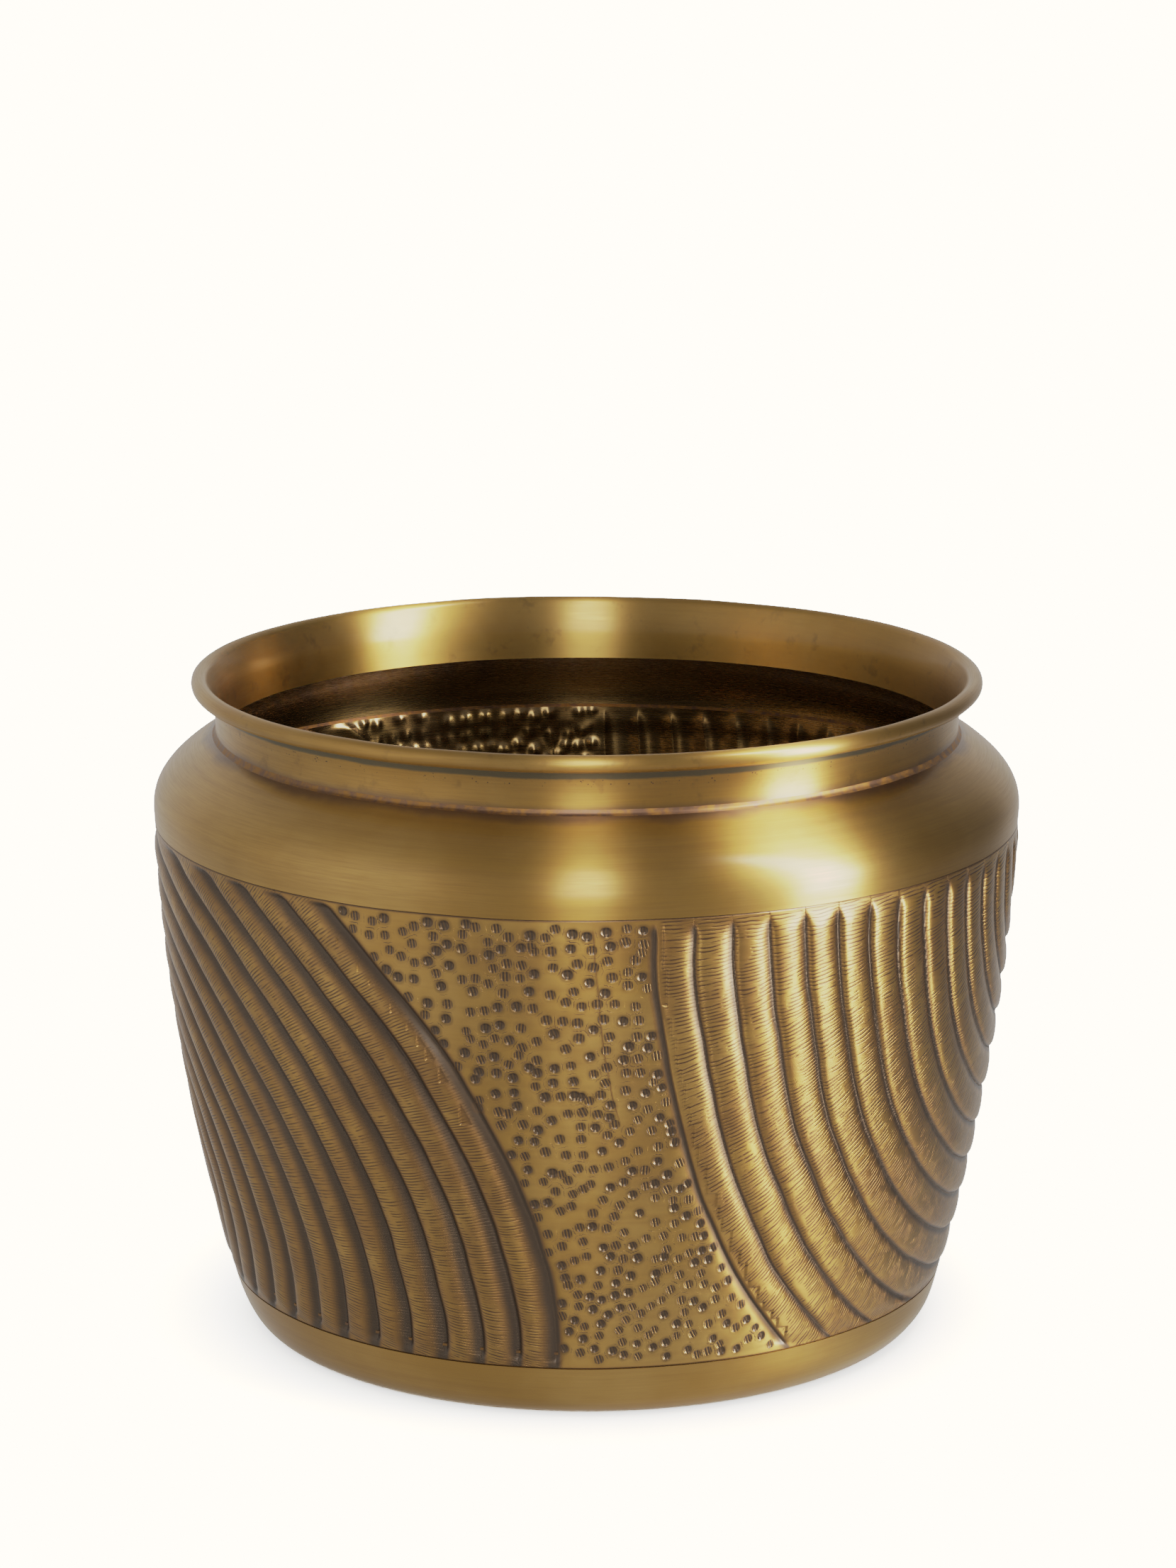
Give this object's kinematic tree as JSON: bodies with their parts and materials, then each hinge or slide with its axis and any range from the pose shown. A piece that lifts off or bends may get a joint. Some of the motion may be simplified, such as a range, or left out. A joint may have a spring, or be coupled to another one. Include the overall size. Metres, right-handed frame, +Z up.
{
  "type": "planter pot",
  "caption": "Round sheet-brass planter pot with a chased wall between two lines, a rounded shoulder, and a short collar whose lip is rolled over a wire.",
  "frame": {"origin": "centre of the flat foot, on the surface that the pot stands on", "axes": "+Z up along the pot's axis, from the foot to the mouth; -Y is the side with the middle of a punched field"},
  "size_m": [0.3, 0.3, 0.2285],
  "materials": {
    "satin_brass": "aged satin, fine level brushing from the lathe",
    "chased_brass": "aged, hand chased and punched, dark patina in the hollows",
    "collar_brass": "aged satin, brushed round the lip, a band of small pits under the roll",
    "wire_brass": "drawn wire, sealed inside the roll",
    "braze_metal": "pinkish copper-rich braze, left rough"
  },
  "bodies": {
    "root": {"base_dish": "satin_brass", "chased_wall": "chased_brass", "shoulder_ring": "satin_brass", "neck_collar": "collar_brass", "rim_wire": "wire_brass", "base_braze": "braze_metal", "shoulder_braze": "braze_metal", "neck_braze": "braze_metal"}
  },
  "joints": []
}
